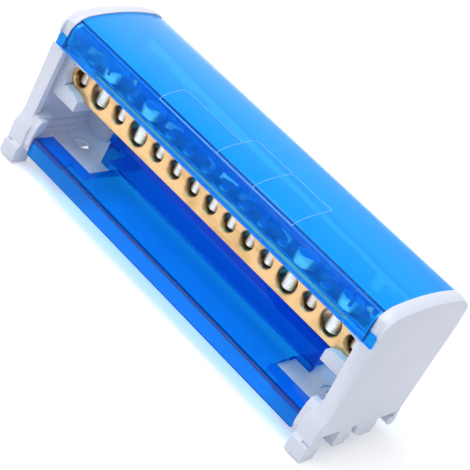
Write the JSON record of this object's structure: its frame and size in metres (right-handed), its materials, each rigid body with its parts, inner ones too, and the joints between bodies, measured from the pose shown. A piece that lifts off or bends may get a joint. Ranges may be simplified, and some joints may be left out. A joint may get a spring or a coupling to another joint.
{
  "type": "power distribution block",
  "caption": "Two-pole modular power distribution block: brass bars with clamp screws in a blue tray under a domed clear cover, on rail-mounting end caps.",
  "frame": {"origin": "centre of the bounding box footprint, level with the tips of the rail latches", "axes": "+X along the bars, +Y across the rail away from the latches, +Z away from the rail towards the cover"},
  "size_m": [0.135, 0.0432, 0.0532],
  "materials": {
    "cap_plastic": "satin light grey moulded plastic",
    "tray_plastic": "glossy transparent blue plastic",
    "cover_plastic": "glossy transparent blue plastic",
    "bar_brass": "machined brass",
    "screw_steel": "zinc plated steel"
  },
  "bodies": {
    "housing": {"end_cap_right": "cap_plastic", "end_cap_left": "cap_plastic", "base_tray": "tray_plastic", "front_busbar": "bar_brass", "rear_busbar": "bar_brass"},
    "cover": {"top_cover": "cover_plastic"},
    "front_screw_01": {"front_screw_01": "screw_steel"},
    "front_screw_02": {"front_screw_02": "screw_steel"},
    "front_screw_03": {"front_screw_03": "screw_steel"},
    "front_screw_04": {"front_screw_04": "screw_steel"},
    "front_screw_05": {"front_screw_05": "screw_steel"},
    "front_screw_06": {"front_screw_06": "screw_steel"},
    "front_screw_07": {"front_screw_07": "screw_steel"},
    "front_screw_08": {"front_screw_08": "screw_steel"},
    "front_screw_09": {"front_screw_09": "screw_steel"},
    "front_screw_10": {"front_screw_10": "screw_steel"},
    "front_screw_11": {"front_screw_11": "screw_steel"},
    "front_screw_12": {"front_screw_12": "screw_steel"},
    "front_screw_13": {"front_screw_13": "screw_steel"},
    "front_screw_14": {"front_screw_14": "screw_steel"},
    "front_screw_15": {"front_screw_15": "screw_steel"},
    "rear_screw_01": {"rear_screw_01": "screw_steel"},
    "rear_screw_02": {"rear_screw_02": "screw_steel"},
    "rear_screw_03": {"rear_screw_03": "screw_steel"},
    "rear_screw_04": {"rear_screw_04": "screw_steel"},
    "rear_screw_05": {"rear_screw_05": "screw_steel"},
    "rear_screw_06": {"rear_screw_06": "screw_steel"},
    "rear_screw_07": {"rear_screw_07": "screw_steel"},
    "rear_screw_08": {"rear_screw_08": "screw_steel"},
    "rear_screw_09": {"rear_screw_09": "screw_steel"},
    "rear_screw_10": {"rear_screw_10": "screw_steel"},
    "rear_screw_11": {"rear_screw_11": "screw_steel"},
    "rear_screw_12": {"rear_screw_12": "screw_steel"},
    "rear_screw_13": {"rear_screw_13": "screw_steel"},
    "rear_screw_14": {"rear_screw_14": "screw_steel"},
    "rear_screw_15": {"rear_screw_15": "screw_steel"}
  },
  "joints": [
    {"name": "cover_lift", "type": "slide", "parent": "housing", "child": "cover", "axis": [0, 0, 1], "range_m": [0, 0.06]},
    {"name": "front_screw_01_travel", "type": "slide", "parent": "housing", "child": "front_screw_01", "axis": [0, 0, 1], "range_m": [0, 0.0046]},
    {"name": "front_screw_02_travel", "type": "slide", "parent": "housing", "child": "front_screw_02", "axis": [0, 0, 1], "range_m": [0, 0.0066]},
    {"name": "front_screw_03_travel", "type": "slide", "parent": "housing", "child": "front_screw_03", "axis": [0, 0, 1], "range_m": [0, 0.0046]},
    {"name": "front_screw_04_travel", "type": "slide", "parent": "housing", "child": "front_screw_04", "axis": [0, 0, 1], "range_m": [0, 0.0066]},
    {"name": "front_screw_05_travel", "type": "slide", "parent": "housing", "child": "front_screw_05", "axis": [0, 0, 1], "range_m": [0, 0.0046]},
    {"name": "front_screw_06_travel", "type": "slide", "parent": "housing", "child": "front_screw_06", "axis": [0, 0, 1], "range_m": [0, 0.0046]},
    {"name": "front_screw_07_travel", "type": "slide", "parent": "housing", "child": "front_screw_07", "axis": [0, 0, 1], "range_m": [0, 0.0046]},
    {"name": "front_screw_08_travel", "type": "slide", "parent": "housing", "child": "front_screw_08", "axis": [0, 0, 1], "range_m": [0, 0.0046]},
    {"name": "front_screw_09_travel", "type": "slide", "parent": "housing", "child": "front_screw_09", "axis": [0, 0, 1], "range_m": [0, 0.0046]},
    {"name": "front_screw_10_travel", "type": "slide", "parent": "housing", "child": "front_screw_10", "axis": [0, 0, 1], "range_m": [0, 0.0046]},
    {"name": "front_screw_11_travel", "type": "slide", "parent": "housing", "child": "front_screw_11", "axis": [0, 0, 1], "range_m": [0, 0.0046]},
    {"name": "front_screw_12_travel", "type": "slide", "parent": "housing", "child": "front_screw_12", "axis": [0, 0, 1], "range_m": [0, 0.0066]},
    {"name": "front_screw_13_travel", "type": "slide", "parent": "housing", "child": "front_screw_13", "axis": [0, 0, 1], "range_m": [0, 0.0046]},
    {"name": "front_screw_14_travel", "type": "slide", "parent": "housing", "child": "front_screw_14", "axis": [0, 0, 1], "range_m": [0, 0.0066]},
    {"name": "front_screw_15_travel", "type": "slide", "parent": "housing", "child": "front_screw_15", "axis": [0, 0, 1], "range_m": [0, 0.0046]},
    {"name": "rear_screw_01_travel", "type": "slide", "parent": "housing", "child": "rear_screw_01", "axis": [0, 0, 1], "range_m": [0, 0.0046]},
    {"name": "rear_screw_02_travel", "type": "slide", "parent": "housing", "child": "rear_screw_02", "axis": [0, 0, 1], "range_m": [0, 0.0066]},
    {"name": "rear_screw_03_travel", "type": "slide", "parent": "housing", "child": "rear_screw_03", "axis": [0, 0, 1], "range_m": [0, 0.0046]},
    {"name": "rear_screw_04_travel", "type": "slide", "parent": "housing", "child": "rear_screw_04", "axis": [0, 0, 1], "range_m": [0, 0.0066]},
    {"name": "rear_screw_05_travel", "type": "slide", "parent": "housing", "child": "rear_screw_05", "axis": [0, 0, 1], "range_m": [0, 0.0046]},
    {"name": "rear_screw_06_travel", "type": "slide", "parent": "housing", "child": "rear_screw_06", "axis": [0, 0, 1], "range_m": [0, 0.0046]},
    {"name": "rear_screw_07_travel", "type": "slide", "parent": "housing", "child": "rear_screw_07", "axis": [0, 0, 1], "range_m": [0, 0.0046]},
    {"name": "rear_screw_08_travel", "type": "slide", "parent": "housing", "child": "rear_screw_08", "axis": [0, 0, 1], "range_m": [0, 0.0046]},
    {"name": "rear_screw_09_travel", "type": "slide", "parent": "housing", "child": "rear_screw_09", "axis": [0, 0, 1], "range_m": [0, 0.0046]},
    {"name": "rear_screw_10_travel", "type": "slide", "parent": "housing", "child": "rear_screw_10", "axis": [0, 0, 1], "range_m": [0, 0.0046]},
    {"name": "rear_screw_11_travel", "type": "slide", "parent": "housing", "child": "rear_screw_11", "axis": [0, 0, 1], "range_m": [0, 0.0046]},
    {"name": "rear_screw_12_travel", "type": "slide", "parent": "housing", "child": "rear_screw_12", "axis": [0, 0, 1], "range_m": [0, 0.0066]},
    {"name": "rear_screw_13_travel", "type": "slide", "parent": "housing", "child": "rear_screw_13", "axis": [0, 0, 1], "range_m": [0, 0.0046]},
    {"name": "rear_screw_14_travel", "type": "slide", "parent": "housing", "child": "rear_screw_14", "axis": [0, 0, 1], "range_m": [0, 0.0066]},
    {"name": "rear_screw_15_travel", "type": "slide", "parent": "housing", "child": "rear_screw_15", "axis": [0, 0, 1], "range_m": [0, 0.0046]}
  ]
}
